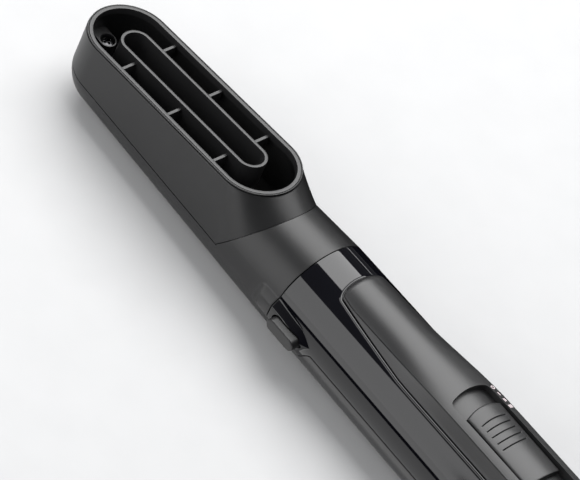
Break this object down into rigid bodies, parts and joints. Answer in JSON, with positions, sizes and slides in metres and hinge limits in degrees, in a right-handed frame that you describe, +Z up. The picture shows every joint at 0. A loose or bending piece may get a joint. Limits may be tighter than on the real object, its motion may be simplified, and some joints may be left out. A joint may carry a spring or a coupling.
{
  "type": "hot air styler",
  "caption": "Hand-held hot-air styler: tapered handle with thumb switch, release buttons and fan heater, and a slide-off drying nozzle with a long slot outlet.",
  "frame": {"origin": "on the surface the styler lies on, under the middle of its bounding box", "axes": "+X from the nozzle to the tail, +Z up through the air outlet, +Y to the right seen from the tail with the outlet up"},
  "size_m": [0.3512, 0.052, 0.0484],
  "materials": {
    "matte_black": "fine satin moulded black",
    "grip_black": "soft matte black",
    "gloss_black": "polished piano black",
    "lower_black": "satin black",
    "heat_grey": "heat resistant dark plastic",
    "steel": "plated steel",
    "mica": "pressed mica board",
    "nichrome": "drawn resistance wire",
    "white_nylon": "moulded nylon",
    "board_green": "printed circuit board"
  },
  "bodies": {
    "handle": {"handle_upper_shell": "gloss_black", "handle_lower_shell": "lower_black", "grip_panel": "grip_black", "front_spigot": "heat_grey", "spigot_grille": "heat_grey", "heater_sleeve": "mica", "heater_frame": "mica", "heating_coil": "nichrome", "heater_clip": "mica", "thermostat": "steel", "thermal_fuse": "white_nylon", "motor": "steel", "fan_duct": "white_nylon", "switch_body": "lower_black", "control_board": "board_green", "filter_disc": "steel", "gland_carrier": "matte_black", "case_screw": "steel", "latch_spring_left": "steel", "latch_spring_right": "steel"},
    "nozzle": {"nozzle_rear_shell": "matte_black", "nozzle_front_shell": "matte_black", "outlet_insert": "matte_black", "nozzle_screw": "steel"},
    "switch": {"thumb_switch": "grip_black"},
    "button_left": {"release_button_left": "matte_black"},
    "button_right": {"release_button_right": "matte_black"},
    "fan": {"fan": "white_nylon"},
    "cap": {"intake_cap": "matte_black"},
    "gland": {"cord_gland": "matte_black"}
  },
  "joints": [
    {"name": "nozzle_slide", "type": "slide", "parent": "handle", "child": "nozzle", "axis": [-1, 0, 0], "range_m": [0, 0.04]},
    {"name": "switch_slide", "type": "slide", "parent": "handle", "child": "switch", "axis": [1, 0, 0], "range_m": [-0.0062, 0.0031]},
    {"name": "button_left_press", "type": "slide", "parent": "handle", "child": "button_left", "axis": [0, 1, 0], "range_m": [0, 0.0018], "stiffness_N_per_m": 900, "springref_m": -0.0015, "deforming": ["latch_spring_left"]},
    {"name": "button_right_press", "type": "slide", "parent": "handle", "child": "button_right", "axis": [0, -1, 0], "range_m": [0, 0.0018], "stiffness_N_per_m": 900, "springref_m": -0.0015, "deforming": ["latch_spring_right"]},
    {"name": "fan_spin", "type": "hinge", "parent": "handle", "child": "fan", "pos_m": [0.1056, 0, 0.0214], "axis": [1, 0, 0], "continuous": true},
    {"name": "cap_slide", "type": "slide", "parent": "handle", "child": "cap", "axis": [1, 0, 0], "range_m": [0, 0.04]},
    {"name": "gland_swivel", "type": "hinge", "parent": "handle", "child": "gland", "pos_m": [0.1676, 0, 0.02225], "axis": [1, 0, 0], "continuous": true}
  ]
}
